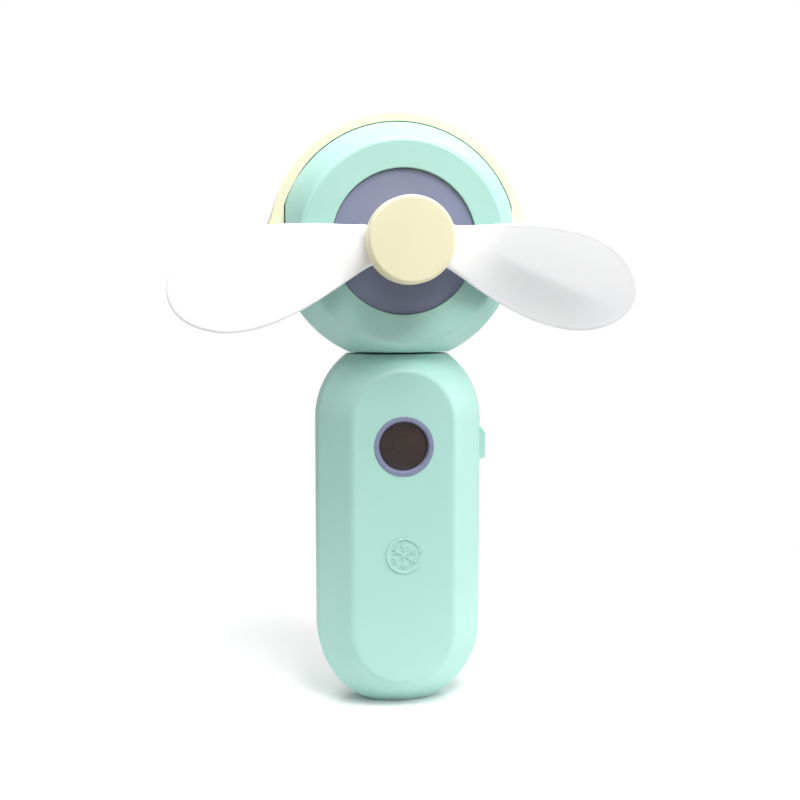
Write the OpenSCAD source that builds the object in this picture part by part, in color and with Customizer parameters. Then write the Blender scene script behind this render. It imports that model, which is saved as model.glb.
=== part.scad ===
// Pocket hand fan: a flat chamfered grip, a round head that tilts back at the waist, a rotor with two
// folding paddle blades, and a bail that lies over the head and swings back.
// Origin: centre of the flat foot. +Z is up, the blades face -Y, and +X is to the right from the front.

/* [Grip] */
// Width of the grip across its sides
grip_w = 40; // [38:1:48]
// Depth of the grip from the front panel to the back panel
grip_d = 24; // [24:1:29]
// Height of the waist seam above the foot
grip_h = 86; // [84:1:104]
// Width of the flat foot that the grip's round end is cut to
foot_w = 13.8; // [12:0.2:16]
// Width of the waist, where head and grip meet
waist_w = 23.4; // [22.4:0.2:26]
// Chamfer round the grip's panels, measured across the front
grip_bevel = 7.6; // [6:0.1:8]
// Level band round the grip's side, between its two chamfers
grip_band = 8; // [7:0.5:9]
// Wall of every moulded shell
wall = 1.8; // [1.5:0.1:2.2]
// Width of the open groove at the waist seam
waist_gap = 0.5; // [0.4:0.05:0.8]

/* [Head] */
// Radius of the head
head_r = 28.8; // [28:0.1:34]
// Depth of the head from its face to its back
head_d = 26; // [26:0.5:32]
// Chamfer round the head's face, measured across the front
head_bevel = 4.7; // [3.8:0.1:5.4]
// Level band round the head's side, between its two chamfers
head_band = 8; // [7:0.5:9]
// Distance between the two side flats that the bail's ears lie on
head_flats = 54.6; // [54:0.1:56.4]
// Radius of the grey motor cover in the head's face
cover_r = 17; // [15.5:0.1:17.6]
// Depth of the cover's face below the head's face
cover_recess = 0.8; // [0.4:0.1:1.2]
// Thickness of the motor cover
cover_t = 1.1; // [0.9:0.1:1.4]

/* [Rotor] */
// Radius of the hub cap
hub_r = 10.1; // [9.8:0.1:11.5]
// Depth of the hub cap
hub_cap_d = 6; // [5:0.5:8]
// Length from the hub's axis to a blade's tip
blade_reach = 56.2; // [48:0.2:60]
// Greatest width of a blade
blade_w = 23.8; // [19:0.2:25]
// Distance from the hub's axis at which a blade is widest
blade_widest = 39; // [32:0.5:42]
// Width of a blade where it leaves the hub
blade_root_w = 10; // [8:0.2:10.4]
// Thickness of a blade
blade_t = 1.6; // [1.2:0.1:2]
// Pitch of a blade about its own length
blade_pitch = 14; // [8:1:16]
// Angle by which each blade hangs below level at rest
blade_droop = 15.5; // [0:0.5:30]
// Distance from the hub's axis to each blade's pin
blade_pin_x = 5.8; // [5.7:0.05:6.2]
// Radius of the eye at a blade's root
blade_eye_r = 3.4; // [3.2:0.1:3.5]
// Radius of a blade's pin
blade_pin_r = 1.2; // [0.9:0.1:1.4]
// Radius of the motor shaft
shaft_r = 1; // [0.8:0.1:1.2]
// Radius of the motor can
motor_r = 11.5; // [10.8:0.1:14]
// Length of the motor can
motor_l = 13; // [12:0.5:14]

/* [Bail] */
// Thickness of the bail's strap
bail_t = 1.8; // [1.4:0.1:2.4]
// Width of the bail's strap, front to back
bail_w = 8; // [6:0.5:9]
// Gap between the strap and the corner of the head that it swings past
bail_gap = 0.35; // [0.3:0.05:0.8]
// Height of the bail's ears above their pins
ear_h = 11; // [9:0.5:13]
// Radius of the bail's pins
bail_pin_r = 1.2; // [0.9:0.1:1.5]

/* [Waist hinge] */
// Distance of the tilt hinge behind the middle of the grip
hinge_back = 8; // [7.8:0.1:8.4]
// Radius of the hinge's knuckles
knuckle_r = 2.2; // [1.9:0.1:2.4]
// Length of the middle knuckle, which belongs to the head
knuckle_l = 8; // [6:0.5:10]
// Length of the hinge pin
tilt_pin_l = 17.6; // [15:0.2:19]
// Radius of the hinge pin
tilt_pin_r = 1; // [0.8:0.1:1.2]

/* [Lamp and badge] */
// Height of the lamp window above the foot
lamp_z = 64; // [61:0.5:65]
// Radius of the lamp's bezel
bezel_r = 7.2; // [6.8:0.1:8]
// Radius of the smoked lens
lens_r = 5.85; // [5.2:0.05:6]
// Height of the badge above the foot
badge_z = 37.8; // [32:0.5:46]
// Radius of the badge
badge_r = 4.35; // [3.6:0.05:6]
// Height of the badge's relief
badge_relief = 0.25; // [0.15:0.05:0.4]

/* [Side button] */
// Height of the button's centre above the foot
button_z = 63.5; // [62:0.5:65]
// Length of the button, up the grip
button_h = 8; // [7:0.5:9]
// Width of the button, front to back
button_w = 4.8; // [4:0.2:5.2]
// How far the button stands out of the grip
button_proud = 1.8; // [1.2:0.1:2.4]
// Travel of the button
button_travel = 0.8; // [0.4:0.1:0.9]

/* [Inside] */
// Radius of the battery cell
cell_r = 7; // [6.2:0.1:7]
// Length of the battery cell
cell_l = 49; // [40:0.5:49]
// Thickness of the main board
board_t = 1.2; // [0.8:0.1:1.6]
// Distance of the board's front face ahead of the middle of the grip
board_front = 6.2; // [6:0.1:6.4]
// Width of the USB-C socket's shell
usb_w = 8.9; // [8.8:0.05:9]
// Thickness of the USB-C socket's shell, front to back
usb_h = 3.2; // [3.1:0.05:3.3]

/* [Fits] */
// Radial clearance of a pin that turns in a bore
running_fit = 0.06; // [0.03:0.01:0.1]
// Clearance between pieces that slide or swing past each other
slip = 0.2; // [0.15:0.05:0.3]
// Radius of the case screws' shanks
screw_r = 0.8; // [0.6:0.1:1]
// Radius of the case screws' heads
screw_head_r = 1.8; // [1.5:0.1:1.9]

/* [Hidden] */

$fn = 96;
MINT = "#b4e3d8";
CREAM = "#f5efcd";
SLATE = "#969bb4";
SMOKE = "#3e2d2d";
STEEL = "#b8bcc0";
BRASS = "#c9a75a";
FAR = 200;

// Depths below are measured forward from the middle of the grip, so a minus sign means behind it.
grip_r = grip_w / 2;
grip_front = grip_d / 2;
grip_rise = (grip_d - grip_band) / 2;
foot_arc_z = sqrt(pow(grip_r, 2) - pow(foot_w / 2, 2));
top_arc_z = grip_h - sqrt(pow(grip_r, 2) - pow(waist_w / 2, 2));
grip_top = grip_h - waist_gap / 2;
grip_parting = -grip_band / 2;
grip_inner = grip_front - wall;

head_z = grip_h + sqrt(pow(head_r, 2) - pow(waist_w / 2, 2));
head_face = head_d / 2;
head_rise = (head_d - head_band) / 2;
head_bottom = grip_h + waist_gap / 2;
head_parting = -head_band / 2;
head_inner = head_face - wall;

cover_front = head_face - cover_recess;
cover_back = cover_front - cover_t;
floor_back = cover_back - wall;
motor_back = floor_back - motor_l;
motor_wall = 0.8;
end_cap_t = 1.5;
bush_r = 2.6;
boss_r = 4;
magnet_r = motor_r - motor_wall - running_fit;
magnet_t = 3;
armature_r = magnet_r - magnet_t - 0.8;
armature_l = 8;

// The hub, from the cover outwards: base plate, the slot that the blades swing in, then the cap.
hub_back = cover_front + 0.7;
hub_plate_t = 1.8;
hub_plate_r = hub_r - 1.1;
slot_back = hub_back + hub_plate_t;
slot_d = 4.7;
slot_front = slot_back + slot_d;
hub_front = slot_front + hub_cap_d;
hub_post_r = blade_pin_x - blade_eye_r - 0.3;
hub_edge = 0.85;
blade_mid = (slot_back + slot_front) / 2 + 0.35;
blade_neck_reach = 9.2;

bail_inner = norm([head_r, head_band / 2]) + bail_gap;
bail_outer = bail_inner + bail_t;
ear_outer = bail_outer + 0.3;
ear_inner = head_flats / 2 + slip + 0.1;
ear_drop = 6;
pin_head_r = 2.6;
pin_head_t = 0.9;
pin_length = 8;

lamp_seat = 1.2;
lens_t = 1;
lens_front = grip_front - 0.8;
lens_back = lens_front - lens_t;
bezel_wall = 0.25;
badge_seat = 0.3;

board_back = board_front - board_t;
board_low = 14;
board_high = grip_h - 13.5;
board_post_x = 9.8;
board_posts = [24, 52];
board_post_r = 1.6;
board_screw_r = 0.6;

case_post_x = 7.5;
case_posts = [11.47, grip_h - 9.22];
case_post_r = 2.2;
screw_sink = 0.6;
screw_head_t = 1.2;
screw_bite = 7;
head_post_at = cover_r + 3.8;

cell_back = -3;
cell_low = 15.2;
cell_nub = 0.8;
tab_t = 0.4;
usb_depth = 7.3;
usb_lift = 0.3;

// The button's flange has room inside the grip's wall, also where the wall rounds in above it.
flange_lip = 0.8;
flange_high = button_z + button_h / 2 + flange_lip;
flange_room = sqrt(pow(grip_r - wall, 2) - pow(max(0, flange_high - top_arc_z), 2));
switch_tip = flange_room - 1.2 - button_travel - 0.1;
board_w = 2 * (switch_tip - 3.6);

// Children are drawn as seen from the front: x across, y up, z towards the viewer.
module front_view(z = 0) {
    translate([0, 0, z]) rotate([90, 0, 0]) children();
}

// A round bar along the viewing direction, between two depths.
module bar(r, from, to) {
    translate([0, 0, from]) cylinder(h = to - from, r = r);
}

// A round bar across the object, between two distances to the right.
module cross_bar(r, from, to) {
    translate([from, 0, 0]) rotate([0, 90, 0]) cylinder(h = to - from, r = r);
}

// A block between two corners.
module block(low, high) {
    translate(low) cube(high - low);
}

module level_block(low, high) {
    block([-FAR, -FAR, low], [FAR, FAR, high]);
}

module depth_block(from, to) {
    block([-FAR, -to, -FAR], [FAR, -from, FAR]);
}

module both_sides() {
    children();
    mirror([1, 0, 0]) children();
}

// Half outline of a slab chamfered round both faces: x from its middle, y forward. The inset is a wall.
function slab_outline(half_w, half_d, run, rise, inset) =
    let (slope = norm([run, rise]))
    let (face = half_w - run - inset * (slope - run) / rise)
    let (band = half_d - ((run - inset) * rise + inset * slope) / run)
    [
        [0, inset - half_d], [face, inset - half_d], [half_w - inset, -band],
        [half_w - inset, band], [face, half_d - inset], [0, half_d - inset]
    ];

// The grip's body, cut level between two heights.
module grip_body(inset, low, high) {
    outline = slab_outline(grip_r, grip_front, grip_bevel, grip_rise, inset);
    intersection() {
        front_view() {
            for (z = [foot_arc_z, top_arc_z]) {
                translate([0, z, 0]) rotate_extrude() polygon(outline);
            }
            translate([0, top_arc_z, 0]) rotate([90, 0, 0]) linear_extrude(top_arc_z - foot_arc_z) {
                polygon(outline);
                mirror([1, 0]) polygon(outline);
            }
        }
        level_block(low, high);
    }
}

// The head's round body, cut level at its lower end.
module head_body(inset, low) {
    intersection() {
        front_view(head_z) {
            rotate_extrude() polygon(slab_outline(head_r, head_face, head_bevel, head_rise, inset));
        }
        level_block(low, FAR);
        block([inset - head_flats / 2, -FAR, 0], [head_flats / 2 - inset, FAR, FAR]);
    }
}

module grip_half(from, to) {
    difference() {
        intersection() {
            grip_body(0, 0, grip_top);
            depth_block(from, to);
        }
        grip_body(wall, wall, grip_top - wall);
    }
}

module head_half(from, to) {
    difference() {
        intersection() {
            head_body(0, head_bottom);
            depth_block(from, to);
        }
        head_body(wall, head_bottom + wall);
    }
}

module at_case_posts() {
    for (x = [-case_post_x, case_post_x], z = case_posts) {
        front_view() translate([x, z, 0]) children();
    }
}

module at_head_posts() {
    for (turn = [45:90:315]) {
        front_view(head_z) rotate(turn) translate([head_post_at, 0, 0]) children();
    }
}

module at_board_posts() {
    for (x = [-board_post_x, board_post_x], z = board_posts) {
        front_view() translate([x, z, 0]) children();
    }
}

// A cross-head screw whose head lies at "seat" and whose shank runs forward.
module screw(r, head_radius, head_t, seat, tip) {
    difference() {
        union() {
            bar(head_radius, seat - head_t, seat);
            bar(r, seat, tip);
        }
        for (turn = [0, 90]) {
            rotate(turn) translate([0, 0, seat - head_t]) {
                cube([head_radius * 1.1, head_radius * 0.25, head_t], center = true);
            }
        }
    }
}

module case_screw(back) {
    seat = screw_sink + screw_head_t - back;
    screw(screw_r, screw_head_r, screw_head_t, seat, grip_parting + screw_bite);
}

module case_screw_hole(back) {
    bar(screw_r + 0.2, -back - 1, back);
    bar(screw_head_r + 0.1, -back - 1, screw_sink + screw_head_t - back);
}

// Opening for the leads, through the two level walls at the waist.
module lead_hole() {
    block([-3, -3, grip_top - wall - 1], [3, 3, head_bottom + wall + 1]);
}

module at_hinge() {
    translate([0, hinge_back, grip_h]) children();
}

module grip_front_shell() {
    color(MINT) difference() {
        union() {
            grip_half(grip_parting, grip_front);
            at_case_posts() bar(case_post_r, grip_parting, grip_inner);
            at_board_posts() bar(board_post_r, board_front, grip_inner);
        }
        at_case_posts() bar(screw_r, grip_parting - 1, grip_parting + screw_bite);
        at_board_posts() bar(board_screw_r, board_front - 1, board_front + 2.4);
        front_view(lamp_z) {
            bar(bezel_r, grip_front - lamp_seat, grip_front + 1);
            bar(lens_r + bezel_wall, grip_inner - 1, grip_front);
        }
        front_view(badge_z) bar(badge_r + 0.05, grip_front - badge_seat, grip_front + 1);
        block(
            [grip_r - wall - 1, -button_w / 2 - slip, button_z - button_h / 2 - slip],
            [grip_r + 1, button_w / 2 + slip, button_z + button_h / 2 + slip]
        );
        usb_opening();
        lead_hole();
    }
}

module grip_back_shell() {
    color(MINT) difference() {
        union() {
            grip_half(-grip_front, grip_parting);
            at_case_posts() bar(case_post_r, -grip_inner, grip_parting);
            cell_cradle();
            at_hinge() both_sides() cross_bar(knuckle_r, knuckle_l / 2 + slip, tilt_pin_l / 2 + 0.4);
        }
        at_case_posts() case_screw_hole(grip_front);
        at_hinge() cross_bar(knuckle_r + slip + 0.1, -knuckle_l / 2 - slip, knuckle_l / 2 + slip);
        at_hinge() cross_bar(tilt_pin_r, -tilt_pin_l / 2, tilt_pin_l / 2);
        lead_hole();
    }
}

// Two ribs that the cell lies in.
module cell_cradle() {
    rib_t = 1.6;
    for (z = [cell_low + 7, cell_low + cell_l - 9]) {
        difference() {
            block([-cell_r - 2, 3, z], [cell_r + 2, grip_inner, z + rib_t]);
            translate([0, -cell_back, 0]) cylinder(h = FAR, r = cell_r + 0.1);
        }
    }
}

module grip_screws() {
    color(STEEL) at_case_posts() case_screw(grip_front);
}

module tilt_pin() {
    color(STEEL) at_hinge() cross_bar(tilt_pin_r, -tilt_pin_l / 2, tilt_pin_l / 2);
}

module lamp_bezel() {
    lip = grip_front + 0.15;
    color(SLATE) front_view(lamp_z) rotate_extrude() polygon([
        [lens_r, lens_back], [lens_r + bezel_wall, lens_back],
        [lens_r + bezel_wall, grip_front - lamp_seat], [bezel_r, grip_front - lamp_seat],
        [bezel_r, lip - 0.15], [bezel_r - 0.15, lip], [lens_r + 0.2, lip], [lens_r, lip - 0.2]
    ]);
}

module lamp_lens() {
    color(SMOKE) front_view(lamp_z) bar(lens_r, lens_back, lens_front);
}

module lamp_reflector() {
    throat = 2.2;
    skin = 0.6;
    color(STEEL) front_view(lamp_z) rotate_extrude() polygon([
        [throat, board_front + 0.2], [throat + skin, board_front + 0.2], [lens_r, lens_back - 0.6],
        [lens_r, lens_back], [lens_r - skin, lens_back]
    ]);
}

module lamp_led() {
    color("#f4f0d8") front_view(lamp_z) {
        translate([0, 0, board_front + 0.3]) cube([2.6, 2.6, 0.6], center = true);
        bar(0.9, board_front + 0.6, board_front + 1.1);
    }
}

// A plain cooling mark: a ring round six arms, each with a small chevron.
module badge() {
    ring_w = 0.55;
    arm_w = 0.4;
    arm = badge_r - ring_w - 0.55;
    top = grip_front + badge_relief;
    color(MINT) front_view(badge_z) {
        bar(badge_r, grip_front - badge_seat, grip_front);
        difference() {
            bar(badge_r, grip_front, top);
            bar(badge_r - ring_w, grip_front - 1, top + 1);
        }
        translate([0, 0, grip_front]) linear_extrude(badge_relief) for (turn = [30:60:330]) {
            rotate(turn) {
                translate([0, -arm_w / 2]) square([arm, arm_w]);
                for (side = [-1, 1]) {
                    translate([arm * 0.55, 0]) rotate(45 * side) {
                        translate([0, -arm_w / 2]) square([arm * 0.38, arm_w]);
                    }
                }
            }
        }
    }
}

module main_board() {
    color("#2f6b4a") difference() {
        block([-board_w / 2, -board_front, board_low], [board_w / 2, -board_back, board_high]);
        at_board_posts() bar(board_screw_r + 0.05, board_back - 1, board_front + 1);
    }
}

module board_screws() {
    color(STEEL) at_board_posts() screw(board_screw_r, 1.3, 1, board_back, board_front + 2.2);
}

// The controller, the charger and the boost coil.
module control_chips() {
    color("#26282c") front_view() {
        translate([-2.5, 41, board_front]) cube([5, 5, 0.9]);
        translate([-8, 32, board_front]) cube([3.2, 3.2, 0.8]);
        translate([6, 34, board_front]) cylinder(h = 2, r = 2.4);
    }
}

module button_switch() {
    color("#3a3d42") {
        block([switch_tip - 5.4, -board_back, button_z - 3], [switch_tip - 0.8, 1.8, button_z + 3]);
        translate([0, 0, button_z]) cross_bar(1.1, switch_tip - 0.8, switch_tip);
    }
}

// The button's cap passes through the slot in the grip's wall, and its flange stops it from inside.
module side_button() {
    face = grip_r + button_proud;
    flange = switch_tip + button_travel + 0.1;
    flange_t = 1;
    half = button_h / 2;
    edge = half + flange_lip;
    color(MINT) translate([0, button_w / 2, button_z]) rotate([90, 0, 0]) linear_extrude(button_w) polygon([
        [flange, -edge], [flange + flange_t, -edge], [flange + flange_t, -half],
        [face - 0.7, -half], [face - 0.2, -half + 0.3], [face, -half + 0.9],
        [face, half - 1.6], [face - 1.2, half], [flange + flange_t, half],
        [flange + flange_t, edge], [flange, edge]
    ]);
}

module at_cell(z) {
    translate([0, -cell_back, z]) children();
}

module battery_cell() {
    color("#4a78b0") at_cell(cell_low) cylinder(h = cell_l, r = cell_r);
    color(STEEL) at_cell(cell_low + cell_l) cylinder(h = cell_nub, r = 2.4);
}

module battery_tabs() {
    top = cell_low + cell_l + cell_nub;
    color(STEEL) {
        block([-2, -board_back, cell_low - tab_t], [2, 5, cell_low]);
        block([-2, -board_back, top], [2, 5, top + tab_t]);
    }
}

module battery_pad() {
    color("#3c3c40") difference() {
        block([-4, -board_back, cell_low + 13], [4, 0, cell_low + 31]);
        at_cell(0) cylinder(h = FAR, r = cell_r + running_fit);
    }
}

// A slot outline with round ends.
module slot_outline(w, h) {
    square([w - h, h], center = true);
    for (side = [-1, 1]) {
        translate([side * (w - h) / 2, 0]) circle(d = h);
    }
}

module usb_opening() {
    translate([0, 0, -1]) linear_extrude(wall + 2) slot_outline(usb_w + 0.3, usb_h + 0.3);
}

module usb_socket() {
    skin = 0.3;
    back_t = 0.7;
    color(STEEL) translate([0, 0, usb_lift]) difference() {
        linear_extrude(usb_depth) slot_outline(usb_w, usb_h);
        translate([0, 0, -1]) {
            linear_extrude(usb_depth - back_t + 1) slot_outline(usb_w - 2 * skin, usb_h - 2 * skin);
        }
    }
    color("#26282c") {
        block([-3.3, -0.35, usb_lift + 0.9], [3.3, 0.35, usb_lift + usb_depth - back_t]);
    }
}

module usb_board() {
    color("#2f6b4a") block([-4.9, usb_h / 2, 2.2], [4.9, usb_h / 2 + 0.8, 12.6]);
}

module head_front_shell() {
    color(MINT) difference() {
        union() {
            head_half(head_parting, head_face);
            front_view(head_z) bar(cover_r + wall, floor_back, head_inner);
            intersection() {
                head_body(0, head_bottom);
                union() {
                    at_head_posts() bar(case_post_r, head_parting, head_inner);
                    translate([0, 0, head_z]) both_sides() {
                        cross_bar(3.2, head_flats / 2 - pin_length + 2, head_flats / 2);
                    }
                }
            }
        }
        front_view(head_z) {
            bar(cover_r + 0.05, cover_back, head_face + 1);
            bar(boss_r + 0.05, floor_back - 1, cover_back + 1);
        }
        at_motor_screws() {
            bar(board_screw_r, floor_back - 1, cover_back + 1);
            bar(1.5, cover_back - 1, cover_back + 1);
        }
        at_head_posts() bar(screw_r, head_parting - 1, head_parting + screw_bite);
        translate([0, 0, head_z]) both_sides() cross_bar(bail_pin_r, FAR / 10, head_r);
        lead_hole();
    }
}

module head_back_shell() {
    color(MINT) difference() {
        union() {
            difference() {
                union() {
                    head_half(-head_face, head_parting);
                    at_head_posts() bar(case_post_r, -head_inner, head_parting);
                }
                at_hinge() both_sides() {
                    cross_bar(knuckle_r + slip + 0.1, knuckle_l / 2, tilt_pin_l / 2 + 0.4 + slip);
                }
                lead_hole();
            }
            at_hinge() cross_bar(knuckle_r, -knuckle_l / 2, knuckle_l / 2);
        }
        at_head_posts() case_screw_hole(head_face);
        at_hinge() cross_bar(tilt_pin_r + running_fit, -tilt_pin_l / 2, tilt_pin_l / 2);
    }
}

module head_screws() {
    color(STEEL) at_head_posts() case_screw(head_face);
}

module motor_cover() {
    color(SLATE) front_view(head_z) difference() {
        bar(cover_r, cover_back, cover_front);
        bar(boss_r + 0.6, cover_back - 1, cover_front + 1);
    }
}

module at_motor_screws() {
    for (side = [-1, 1]) {
        front_view(head_z) translate([side * 8, 0, 0]) children();
    }
}

// The can's front boss passes through the head's floor and holds the front bush.
module motor_can() {
    color(STEEL) difference() {
        front_view(head_z) difference() {
            union() {
                bar(motor_r, motor_back, floor_back);
                bar(boss_r, floor_back, cover_back);
            }
            bar(motor_r - motor_wall, motor_back - 1, floor_back - motor_wall);
            bar(bush_r, motor_back, cover_back + 1);
        }
        at_motor_screws() bar(board_screw_r, motor_back, floor_back + 1);
    }
}

module motor_end_cap() {
    color("#3a3d42") front_view(head_z) difference() {
        bar(motor_r, motor_back - end_cap_t, motor_back);
        bar(bush_r, motor_back - end_cap_t - 1, motor_back + 1);
    }
}

module motor_magnets() {
    color("#55585e") front_view(head_z) for (turn = [0, 180]) {
        rotate(turn) difference() {
            bar(magnet_r, motor_back + 2, floor_back - 2);
            bar(magnet_r - magnet_t, motor_back, floor_back);
            translate([-FAR / 2, -FAR + 3, -FAR / 2]) cube(FAR);
        }
    }
}

module motor_bushes() {
    color(BRASS) front_view(head_z) {
        for (span = [[floor_back - 1.6, cover_back], [motor_back - end_cap_t, motor_back + 1.2]]) {
            difference() {
                bar(bush_r, span[0], span[1]);
                bar(shaft_r + running_fit, span[0] - 1, span[1] + 1);
            }
        }
    }
}

module motor_screws() {
    color(STEEL) at_motor_screws() {
        mirror([0, 0, 1]) screw(board_screw_r, 1.4, 1, 1 - cover_back, 4 - cover_back);
    }
}

// Two leads from the motor down to the opening at the waist.
module motor_leads() {
    lead_r = 0.45;
    back = motor_back - end_cap_t;
    for (side = [-1, 1]) {
        color(side > 0 ? "#c43b34" : "#2b2b2e") translate([side * 1.2, 0, 0]) {
            front_view(head_z - 6) bar(lead_r, back - 1.5, back);
            translate([0, 1 - back, head_bottom + wall + 2]) {
                cylinder(h = head_z - 5 - head_bottom - wall - 2, r = lead_r);
            }
        }
    }
}

module motor_shaft() {
    color(STEEL) front_view(head_z) bar(shaft_r, motor_back - end_cap_t, slot_front - 1.6);
}

module motor_armature() {
    low = (motor_back + floor_back - armature_l) / 2;
    color("#b5763a") front_view(head_z) difference() {
        bar(armature_r, low, low + armature_l);
        bar(shaft_r, low - 1, low + armature_l + 1);
        for (turn = [0:120:240]) {
            rotate(turn) translate([armature_r, 0, 0]) bar(1.6, low - 1, low + armature_l + 1);
        }
    }
}

module at_blade_pins() {
    for (side = [-1, 1]) {
        front_view(head_z) translate([side * blade_pin_x, 0, 0]) children();
    }
}

module hub_base() {
    color(CREAM) difference() {
        front_view(head_z) difference() {
            union() {
                bar(hub_plate_r, hub_back, slot_back);
                bar(hub_post_r, slot_back, slot_front);
            }
            bar(shaft_r, hub_back - 1, slot_front - 1.6);
            bar(board_screw_r, slot_front - 1.6, slot_front + 1);
        }
        at_blade_pins() bar(blade_pin_r, slot_back - 1, slot_back + 1);
    }
}

module hub_cap() {
    socket = 2.4;
    color(CREAM) difference() {
        front_view(head_z) rotate_extrude() difference() {
            polygon([
                [0, slot_front], [hub_r - 0.5, slot_front], [hub_r, slot_front + 0.6],
                [hub_r, hub_front - hub_edge], [hub_r - hub_edge, hub_front], [0, hub_front]
            ]);
            translate([0, slot_front - 1]) square([board_screw_r, 1 + socket]);
        }
        at_blade_pins() bar(blade_pin_r, slot_front - 1, slot_front + socket);
    }
}

module hub_screw() {
    color(STEEL) front_view(head_z) bar(board_screw_r, slot_front - 1.6, slot_front + 2.4);
}

module blade_pins() {
    color(STEEL) at_blade_pins() bar(blade_pin_r, slot_back - 1, slot_front + 2.4);
}

// One side of a blade's outline, measured from its pin: it widens along a sine, then closes as an
// ellipse. Points run from the root to the tip.
function blade_side(side) =
    let (root = blade_neck_reach / 2, widest = blade_widest - blade_pin_x, tip = blade_reach - blade_pin_x)
    let (half = blade_w / 2, half_root = blade_root_w / 2)
    concat(
        [for (t = [0:0.1:0.9]) [
            root + (widest - root) * t,
            side * (half_root + (half - half_root) * pow(sin(90 * t), 1.15))
        ]],
        [for (a = [0:10:90]) [widest + (tip - widest) * sin(a), side * half * cos(a)]]
    );

// The blade beyond a given distance from its pin.
module blade_outline(from, to) {
    lower = blade_side(-1);
    upper = blade_side(1);
    intersection() {
        polygon(concat(lower, [for (i = [len(upper) - 2:-1:0]) upper[i]]));
        translate([from, -FAR / 2]) square([to - from, FAR]);
    }
}

// A right-hand blade pointing along +x from its pin: an eye, a flat neck and a pitched paddle.
module blade(pitch) {
    eye_low = slot_back + slip;
    eye_high = slot_front - slip;
    neck_low = blade_mid - 1.4;
    neck_high = blade_mid + 1.4;
    root = blade_neck_reach / 2;
    difference() {
        union() {
            bar(blade_eye_r, eye_low, eye_high);
            translate([0, 0, neck_low]) linear_extrude(neck_high - neck_low) {
                polygon([[0, -blade_eye_r], [root, -blade_root_w / 2], [root, blade_root_w / 2], [0, blade_eye_r]]);
                blade_outline(root, blade_neck_reach);
            }
            translate([0, 0, blade_mid]) rotate([pitch, 0, 0]) translate([0, 0, -blade_t / 2]) {
                linear_extrude(blade_t) blade_outline(blade_neck_reach - 0.5, blade_reach);
            }
        }
        bar(blade_pin_r + running_fit, eye_low - 1, eye_high + 1);
    }
}

module blade_right() {
    color("#fbfcfd") front_view(head_z) {
        translate([blade_pin_x, 0, 0]) rotate(-blade_droop) blade(blade_pitch);
    }
}

module blade_left() {
    color("#fbfcfd") front_view(head_z) {
        translate([-blade_pin_x, 0, 0]) rotate(180 + blade_droop) blade(blade_pitch);
    }
}

// The ear at one end of the bail, seen from the front, with the pin at the origin's height.
module ear_outline() {
    polygon([
        [ear_inner, ear_h], [bail_outer - 1.8, ear_h], [ear_outer, ear_h * 0.4],
        [ear_outer, -ear_drop * 0.6], [ear_outer - 0.8, -ear_drop],
        [ear_inner, -ear_drop]
    ]);
}

module bail() {
    color(CREAM) translate([0, 0, head_z]) difference() {
        union() {
            front_view() difference() {
                bar(bail_outer, -bail_w / 2, bail_w / 2);
                bar(bail_inner, -bail_w / 2 - 1, bail_w / 2 + 1);
                block([-FAR, -FAR, -FAR], [FAR, ear_h - 2, FAR]);
            }
            both_sides() front_view() translate([0, 0, -bail_w / 2]) linear_extrude(bail_w) ear_outline();
        }
        both_sides() {
            cross_bar(bail_pin_r + running_fit, ear_inner - 1, ear_outer + 1);
            cross_bar(pin_head_r + 0.1, ear_outer - pin_head_t - 0.1, ear_outer + 1);
        }
    }
}

module bail_pins() {
    color(STEEL) translate([0, 0, head_z]) both_sides() {
        cross_bar(bail_pin_r, ear_outer - pin_length - 3, ear_outer - pin_head_t);
        cross_bar(pin_head_r, ear_outer - pin_head_t, ear_outer);
    }
}

grip_front_shell();
grip_back_shell();
grip_screws();
lamp_bezel();
lamp_lens();
lamp_reflector();
lamp_led();
badge();
main_board();
board_screws();
control_chips();
button_switch();
battery_cell();
battery_tabs();
battery_pad();
usb_socket();
usb_board();
tilt_pin();
side_button();
head_front_shell();
head_back_shell();
head_screws();
motor_cover();
motor_can();
motor_end_cap();
motor_magnets();
motor_bushes();
motor_screws();
motor_leads();
bail_pins();
motor_shaft();
motor_armature();
hub_base();
hub_cap();
hub_screw();
blade_pins();
blade_left();
blade_right();
bail();
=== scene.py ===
# Pocket electric fan: a mint grip and head, a slate motor cover, a cream hub, a cream bail painted paler as painted
# light and two white paddle blades. Lengths are in millimetres until a finished mesh is scaled to metres. +Z is up and
# the front faces -Y.
import math

import bmesh
import bpy
from mathutils import Matrix, Vector


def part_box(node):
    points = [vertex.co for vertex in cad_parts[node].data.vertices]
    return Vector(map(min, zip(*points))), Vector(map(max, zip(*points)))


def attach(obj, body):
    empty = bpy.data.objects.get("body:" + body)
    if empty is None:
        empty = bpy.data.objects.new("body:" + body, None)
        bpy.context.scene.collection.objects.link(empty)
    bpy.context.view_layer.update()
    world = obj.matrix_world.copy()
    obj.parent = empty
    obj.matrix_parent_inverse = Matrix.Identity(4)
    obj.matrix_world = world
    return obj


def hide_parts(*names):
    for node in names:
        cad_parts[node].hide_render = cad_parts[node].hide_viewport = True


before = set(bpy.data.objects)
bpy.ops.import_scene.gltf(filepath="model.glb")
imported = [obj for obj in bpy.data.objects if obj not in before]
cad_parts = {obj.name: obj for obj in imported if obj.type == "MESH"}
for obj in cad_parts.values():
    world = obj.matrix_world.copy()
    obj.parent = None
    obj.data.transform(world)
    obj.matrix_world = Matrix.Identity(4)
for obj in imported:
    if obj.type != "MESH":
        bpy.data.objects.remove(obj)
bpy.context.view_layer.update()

MM = 0.001


def span(node):
    """The lowest and highest corners of a CAD node, in millimetres."""
    low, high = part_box(node)
    return low / MM, high / MM


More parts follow.
